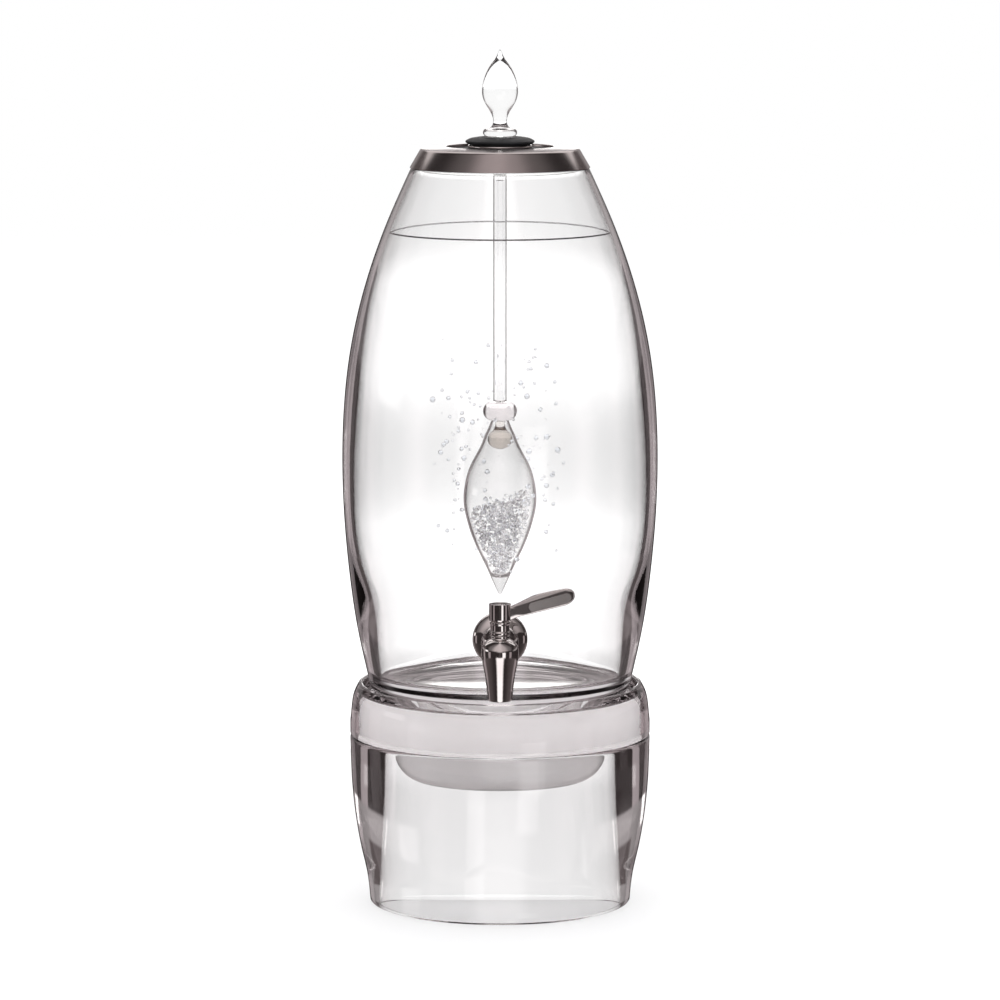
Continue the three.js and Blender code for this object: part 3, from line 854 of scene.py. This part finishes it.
def tap_shank():
    """The threaded tube through the glass."""
    turns = []
    place = 66.8
    while place < 127.5:
        turns += [(5.5, place), (6.0, place + 0.35), (6.0, place + 0.5), (5.5, place + 0.85)]
        place += 1.0
    outline = [(SHANK_BORE_R, 66), (5.4, 66), *turns, (5.5, 128), (SHANK_BORE_R, 128)]
    piece = lathe("shank_tube", outline, SMALL, POLISHED, along_tap())
    return place_piece(piece, "vessel", "polished_steel", "tap_shank")


NUT_R = 13


def lock_nut():
    """A hexagon nut with turned-down corners."""
    back = (AXIS.y - nut_hi.y) / MM
    front = (AXIS.y - nut_lo.y) / MM
    made = lathe_bmesh(rounded([
        (6.3, back, 0.5), (11.2, back), (NUT_R, back + 1.2), (NUT_R, front - 1.2), (11.2, front),
        (6.3, front, 0.5),
    ]), 96)
    apothem = NUT_R * math.cos(math.pi / 6) * MM
    for side in range(6):
        angle = math.pi / 6 + side * math.pi / 3
        normal = Vector((math.cos(angle), math.sin(angle), 0))
        cut = bmesh.ops.bisect_plane(
            made, geom=made.verts[:] + made.edges[:] + made.faces[:], plane_co=normal * apothem,
            plane_no=normal, clear_outer=True)
        rim = [edge for edge in cut["geom_cut"] if isinstance(edge, bmesh.types.BMEdge)]
        bmesh.ops.holes_fill(made, edges=rim)
    bmesh.ops.transform(made, matrix=along_tap(), verts=made.verts)
    bmesh.ops.recalc_face_normals(made, faces=made.faces)
    mesh = bpy.data.meshes.new("nut")
    made.to_mesh(mesh)
    made.free()
    return place_piece(finish_mesh("nut", mesh, POLISHED, 20), "vessel", "polished_steel", "lock_nut")


def tap_bonnet():
    outline = rounded([
        (3.3, BONNET_BOTTOM), (7.2, BONNET_BOTTOM, 0.5), (7.2, BONNET_BOTTOM + 1.8, 0.5),
        (6.7, BONNET_BOTTOM + 2.4, 0.4), (6.7, BONNET_TOP - 2, 0.4), (7.1, BONNET_TOP - 1.4, 0.4),
        (7.1, BONNET_TOP, 0.4), (3.3, BONNET_TOP),
    ])
    piece = lathe("bonnet", outline, MEDIUM, POLISHED, at_tap())
    return place_piece(piece, "vessel", "polished_steel", "tap_bonnet")


def bezier(start, first, second, end, steps=12):
    """Points on a cubic Bezier curve, after its start."""
    points = []
    for step in range(1, steps + 1):
        t = step / steps
        weights = ((1 - t) ** 3, 3 * t * (1 - t) ** 2, 3 * t ** 2 * (1 - t), t ** 3)
        points.append(tuple(
            sum(weight * point[axis] for weight, point in zip(weights, (start, first, second, end)))
            for axis in (0, 1)))
    return points


def paddle_outline():
    """The lever's arm, as (distance from the tap's axis, height) in the upright plane."""
    return [
        (2, HUB_BOTTOM + 0.6), (HUB_R, HUB_BOTTOM + 0.8), (12, 229), (45.6, 237.4),
        *bezier((45.6, 237.4), (50.4, 239.2), (52.6, 242.6), (51.6, 245.4)),
        *bezier((51.6, 245.4), (50.6, 248.6), (47, 249.2), (43.4, 248.6)),
        *bezier((43.4, 248.6), (33, 246.6), (26, 245.4), (21, 243)),
        *bezier((21, 243), (16, 240.6), (12.4, 238.6), (7.4, 236.4)),
        (2, 235.6),
    ]


PADDLE_RISE = math.radians(15.3)


def slot_outline(radius):
    """A round-ended slot along the paddle, in the upright plane."""
    line = arc(22.3, 0, radius, 90, 270, 16) + arc(46.4, 0, radius, -90, 90, 16)
    return [
        (x * math.cos(PADDLE_RISE) - z * math.sin(PADDLE_RISE) + 1.6,
         x * math.sin(PADDLE_RISE) + z * math.cos(PADDLE_RISE) + 230.4)
        for x, z in line]


def slab(name, outline, near, far, material, bevel=0.0):
    """An outline of the upright plane, from one distance in front of the tap's axis to another."""
    made = bmesh.new()
    verts = [made.verts.new(TAP + Vector((x, -near, z)) * MM) for x, z in outline]
    face = made.faces.new(verts)
    grown = bmesh.ops.extrude_face_region(made, geom=[face])
    moved = [v for v in grown["geom"] if isinstance(v, bmesh.types.BMVert)]
    bmesh.ops.translate(made, verts=moved, vec=Vector((0, near - far, 0)) * MM)
    bmesh.ops.recalc_face_normals(made, faces=made.faces)
    mesh = bpy.data.meshes.new(name)
    made.to_mesh(mesh)
    made.free()
    piece = finish_mesh(name, mesh, material, 40)
    if bevel:
        rim = piece.modifiers.new("rim", "BEVEL")
        rim.width = bevel * MM
        rim.segments = 4
        rim.limit_method = "ANGLE"
        rim.angle_limit = math.radians(50)
        bpy.context.view_layer.update()
        apply_modifiers(piece)
    return piece


HALF_PADDLE = 2.2


def lever():
    """Hub and paddle in one casting, with a slot sunk into both sides of the paddle."""
    piece = slab("lever_casting", paddle_outline(), -HALF_PADDLE, HALF_PADDLE, POLISHED, 0.7)
    hub = lathe("hub", [
        (0, HUB_BOTTOM),
        *rounded([(HUB_R - 0.2, HUB_BOTTOM, 0.5), (HUB_R, HUB_BOTTOM + 1, 0.4), (HUB_R, HUB_TOP, 0.8)]),
        *rounded([(5.2, HUB_TOP, 0.4), (5.0, HUB_TOP - 2.2, 0.2)]),
        (0, HUB_TOP - 2.2),
    ], MEDIUM, None, at_tap())
    union = piece.modifiers.new("hub", "BOOLEAN")
    union.operation = "UNION"
    union.solver = "EXACT"
    union.object = hub
    bpy.context.view_layer.update()
    apply_modifiers(piece)
    bpy.data.objects.remove(hub)
    for near, far in ((HALF_PADDLE - 0.8, HALF_PADDLE + 1), (-HALF_PADDLE - 1, -HALF_PADDLE + 0.8)):
        carve(piece, slab("slot", slot_outline(3.6), near, far, None))
    for polygon in piece.data.polygons:
        polygon.use_smooth = True
    piece.data.set_sharp_from_angle(angle=math.radians(30))
    return place_piece(piece, "lever", "polished_steel", "lever")


def inlays():
    for name, node, near, far in (
        ("inlay_front", "lever_inlay_front", HALF_PADDLE - 0.55, HALF_PADDLE - 0.1),
        ("inlay_back", "lever_inlay_back", 0.1 - HALF_PADDLE, 0.55 - HALF_PADDLE),
    ):
        piece = slab(name, slot_outline(3.2), near, far, SATIN, 0.15)
        place_piece(piece, "lever", "gunmetal", node)


def cap_screw():
    outline = [
        (0, HUB_TOP - 10),
        *rounded([(1.2, HUB_TOP - 10), (1.2, HUB_TOP - 1.9), (4.6, HUB_TOP - 1.9, 0.2), (4.6, HUB_TOP, 0.6)]),
        (0, HUB_TOP),
    ]
    piece = lathe("screw_head", outline, MEDIUM, POLISHED, at_tap())
    socket = lathe("socket", [(0, -3), (2.2, -3), (2.2, 3), (0, 3)], 6, None,
                   at_tap() @ Matrix.Translation((0, 0, (HUB_TOP + 1.6) * MM)))
    carve(piece, socket)
    piece.data.set_sharp_from_angle(angle=math.radians(30))
    return place_piece(piece, "lever", "polished_steel", "cap_screw")


def carried_over():
    """CAD pieces whose shape is right and which get a finished material."""
    for node, material in (
        ("washer_outer", BLACK),
        ("washer_inner", BLACK),
        ("valve_seals", BLACK),
        ("valve_plug", POLISHED),
    ):
        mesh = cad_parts[node].data
        mesh.materials.clear()
        mesh.materials.append(material)


# ---------------------------------------------------------------- studio
FLOOR_R = 0.62
FLOOR_GLOW = 0.36


def floor():
    """A pale round table top, left out of what glass and metal reflect."""
    made = bmesh.new()
    bmesh.ops.create_circle(made, cap_ends=True, radius=FLOOR_R, segments=128)
    mesh = bpy.data.meshes.new("floor")
    made.to_mesh(mesh)
    made.free()
    pale = Nodes("pale_floor")
    where = pale.position()
    pale.set(Emission_Color=(1, 1, 1, 1), Emission_Strength=FLOOR_GLOW)
    pale.link(pale.tint(pale.noise(where, 6), (0.54, 0.54, 0.545), (0.56, 0.56, 0.565)),
              pale.shader.inputs["Base Color"])
    pale.link(pale.spread(pale.noise(where, 20), 0.7, 0.8), pale.shader.inputs["Roughness"])
    path = pale.add("ShaderNodeLightPath")
    reflected = pale.add("ShaderNodeMath", operation="GREATER_THAN")
    pale.link(path.outputs["Glossy Depth"], reflected.inputs[0])
    reflected.inputs[1].default_value = 0.5
    unseen = pale.add("ShaderNodeBsdfTransparent")
    either = pale.add("ShaderNodeMixShader")
    pale.link(reflected.outputs["Value"], either.inputs["Fac"])
    pale.link(pale.shader.outputs["BSDF"], either.inputs[1])
    pale.link(unseen.outputs["BSDF"], either.inputs[2])
    pale.link(either.outputs["Shader"], pale.output.inputs["Surface"])
    piece = finish_mesh("floor", mesh, pale.material)
    piece.location = (AXIS.x, AXIS.y, -0.0002)
    piece.visible_glossy = False


def world_ramp(tree, stops, source):
    """A ramp of (azimuth in degrees from +Y towards +X, brightness) stops, over the full circle."""
    ramp = tree.nodes.new("ShaderNodeValToRGB")
    elements = ramp.color_ramp.elements
    ramp.color_ramp.interpolation = "EASE"
    first, last = stops[0], stops[-1]
    elements[0].position = (first[0] + 180) / 360
    elements[0].color = (*first[1], 1)
    elements[1].position = (last[0] + 180) / 360
    elements[1].color = (*last[1], 1)
    for azimuth, colour in stops[1:-1]:
        element = elements.new((azimuth + 180) / 360)
        element.color = (*colour, 1)
    tree.links.new(source, ramp.inputs["Fac"])
    return ramp.outputs["Color"]


def studio():
    """A white room to look at, with dark cards and grey gaps for glass and metal to show."""
    world = bpy.data.worlds.new("studio")
    bpy.context.scene.world = world
    world.use_nodes = True
    tree = world.node_tree
    background = tree.nodes["Background"]

    def math_node(operation, *values):
        node = tree.nodes.new("ShaderNodeMath")
        node.operation = operation
        for index, value in enumerate(values):
            if isinstance(value, (int, float)):
                node.inputs[index].default_value = value
            else:
                tree.links.new(value, node.inputs[index])
        return node.outputs["Value"]

    def rise(value, low, high):
        node = tree.nodes.new("ShaderNodeMapRange")
        node.interpolation_type = "SMOOTHSTEP"
        node.inputs["From Min"].default_value = low
        node.inputs["From Max"].default_value = high
        tree.links.new(value, node.inputs["Value"])
        return node.outputs["Result"]

    def mix(factor, first, second):
        node = tree.nodes.new("ShaderNodeMix")
        node.data_type = "RGBA"
        tree.links.new(factor, node.inputs["Factor"])
        for value, socket in ((first, node.inputs[6]), (second, node.inputs[7])):
            if isinstance(value, tuple):
                socket.default_value = (*value, 1)
            else:
                tree.links.new(value, socket)
        return node.outputs[2]

    coordinates = tree.nodes.new("ShaderNodeTexCoord")
    split = tree.nodes.new("ShaderNodeSeparateXYZ")
    tree.links.new(coordinates.outputs["Generated"], split.inputs["Vector"])
    azimuth = math_node("ARCTAN2", split.outputs["X"], split.outputs["Y"])
    around = math_node("ADD", math_node("DIVIDE", azimuth, 2 * math.pi), 0.5)
    height = split.outputs["Z"]

    path = tree.nodes.new("ShaderNodeLightPath")

    # What is seen straight on and through glass: white, brighter below. Rays that glass has bent
    # far to a side meet a dark card. Matt faces are lit evenly, and most from the level.
    behind = mix(rise(height, -0.14, -0.075), (1.35, 1.35, 1.35), (1.0, 1.0, 1.0))
    open_sides = world_ramp(tree, [
        (-180, (0, 0, 0)), (-124, (0, 0, 0)), (-114, (1, 1, 1)), (-66, (1, 1, 1)), (-60, (0, 0, 0)),
        (-54, (0, 0, 0)), (-40, (1, 1, 1)), (40, (1, 1, 1)), (54, (0, 0, 0)), (180, (0, 0, 0)),
    ], around)
    near_level = math_node("MULTIPLY", rise(height, -0.172, -0.155), rise(height, 0.45, 0.3))
    through_glass = math_node("GREATER_THAN", path.outputs["Transmission Depth"], 0.5)
    bent_ray = math_node("MULTIPLY", near_level, through_glass)
    sides = mix(open_sides, (0.08, 0.075, 0.075), behind)
    backdrop = mix(bent_ray, behind, sides)
    level_light = math_node("SUBTRACT", 1.0, math_node("ABSOLUTE", height))
    fill = mix(rise(level_light, 0.55, 0.85), (1.5, 1.5, 1.5), (2.7, 2.7, 2.7))
    seen = mix(math_node("GREATER_THAN", path.outputs["Diffuse Depth"], 0.5), backdrop, fill)

    # What polished faces reflect: dark cards with grey gaps between them.
    dark = (0.035, 0.028, 0.028)
    mauve = (0.46, 0.40, 0.41)
    bright = (1.6, 1.55, 1.55)
    grey = (0.40, 0.37, 0.37)
    dim = (0.12, 0.10, 0.10)
    lamp = (3.0, 2.95, 2.9)
    level = world_ramp(tree, [
        (-180, (0.10, 0.09, 0.09)), (-172, dark), (-121, dark), (-119, mauve), (-106, mauve), (-104, dark),
        (-76, dark), (-74, mauve), (-61, mauve), (-59, dark), (-31, dark), (-29, mauve), (-16, mauve),
        (-14, dark), (14, dark), (16, mauve), (29, mauve), (31, dark), (104, dark), (106, mauve),
        (119, mauve), (121, dark), (143, dark), (147, bright), (162, bright), (166, dark), (174, dark),
        (180, (0.10, 0.09, 0.09)),
    ], around)
    low = world_ramp(tree, [
        (-180, bright), (-164, bright), (-150, dark), (-80, dim), (-60, mauve), (-50, mauve), (-46, dim),
        (-30, dim), (-26, mauve), (-8, mauve), (-4, dark), (4, dark), (8, mauve), (26, mauve), (30, dim),
        (46, dim), (50, mauve), (60, mauve), (80, dim), (150, dark), (164, bright), (180, bright),
    ], around)
    edge = world_ramp(tree, [
        (-180, (0.5, 0.46, 0.46)), (-150, dark), (-104, dark), (-98, bright), (-82, bright), (-76, grey),
        (-6, grey), (-3, lamp), (3, lamp), (6, grey), (76, grey), (100, dark),
        (150, dark), (180, (0.5, 0.46, 0.46)),
    ], around)
    high = world_ramp(tree, [
        (-180, (0.80, 0.72, 0.72)), (-155, (0.72, 0.65, 0.65)), (-118, (0.20, 0.18, 0.18)), (-90, dark),
        (-60, dim), (-30, dim), (-24, grey), (24, grey),
        (30, dim), (60, dim), (90, dark), (118, (0.20, 0.18, 0.18)), (155, (0.60, 0.54, 0.54)),
        (180, (0.80, 0.72, 0.72)),
    ], around)
    top = world_ramp(tree, [
        (-180, (0.80, 0.72, 0.72)), (-155, (0.72, 0.65, 0.65)), (-118, (0.20, 0.18, 0.18)), (-80, dark),
        (-60, dark), (-50, (1.3, 1.25, 1.24)), (50, (1.3, 1.25, 1.24)), (60, dark), (80, dark),
        (118, (0.20, 0.18, 0.18)), (155, (0.60, 0.54, 0.54)), (180, (0.80, 0.72, 0.72)),
    ], around)
    cards = mix(rise(height, -0.30, -0.25), low, level)
    cards = mix(rise(height, 0.0, 0.02), cards, edge)
    cards = mix(rise(height, 0.12, 0.15), cards, high)
    cards = mix(rise(height, 0.36, 0.40), cards, top)

    glossy = math_node("GREATER_THAN", path.outputs["Glossy Depth"], 0.5)
    undiffused = math_node("LESS_THAN", path.outputs["Diffuse Depth"], 0.5)
    reflected = math_node("MULTIPLY", glossy, undiffused)
    chosen = mix(reflected, seen, cards)
    tree.links.new(chosen, background.inputs["Color"])
    background.inputs["Strength"].default_value = 1.0


CAMERA_DISTANCE = 3.6
CAMERA_HEIGHT = 0.763
AIM_HEIGHT = 0.2918
FIELD_OF_VIEW = 11.33


def camera():
    """The photo's viewpoint: a long lens a little above the top, aimed at the vessel's middle."""
    data = bpy.data.cameras.new("camera")
    data.sensor_width = 36
    data.lens = 18 / math.tan(math.radians(FIELD_OF_VIEW / 2))
    piece = bpy.data.objects.new("camera", data)
    bpy.context.collection.objects.link(piece)
    piece.location = (AXIS.x, AXIS.y - CAMERA_DISTANCE, CAMERA_HEIGHT)
    aim = Vector((AXIS.x, AXIS.y, AIM_HEIGHT)) - piece.location
    piece.rotation_euler = aim.to_track_quat("-Z", "Y").to_euler()
    bpy.context.scene.camera = piece


def rendering():
    """Plain colours, and enough bounces for light to pass through all the glass walls."""
    scene = bpy.context.scene
    scene.view_settings.view_transform = "Standard"
    scene.view_settings.look = "None"
    scene.cycles.max_bounces = 32
    scene.cycles.transmission_bounces = 32
    scene.cycles.glossy_bounces = 12
    scene.cycles.transparent_max_bounces = 16
    scene.cycles.sample_clamp_indirect = 8


camera()
studio()
floor()
rendering()
stand()
dish()
vessel()
painted_meniscus()
lid_ring()
lid_seal()
stopper()
stopper_ring()
finial()
glass_rod()
bead()
vial()
vial_plug()
crystal_chips()
bubbles()
tap_body()
rosette()
tap_shank()
lock_nut()
tap_bonnet()
lever()
inlays()
cap_screw()
carried_over()
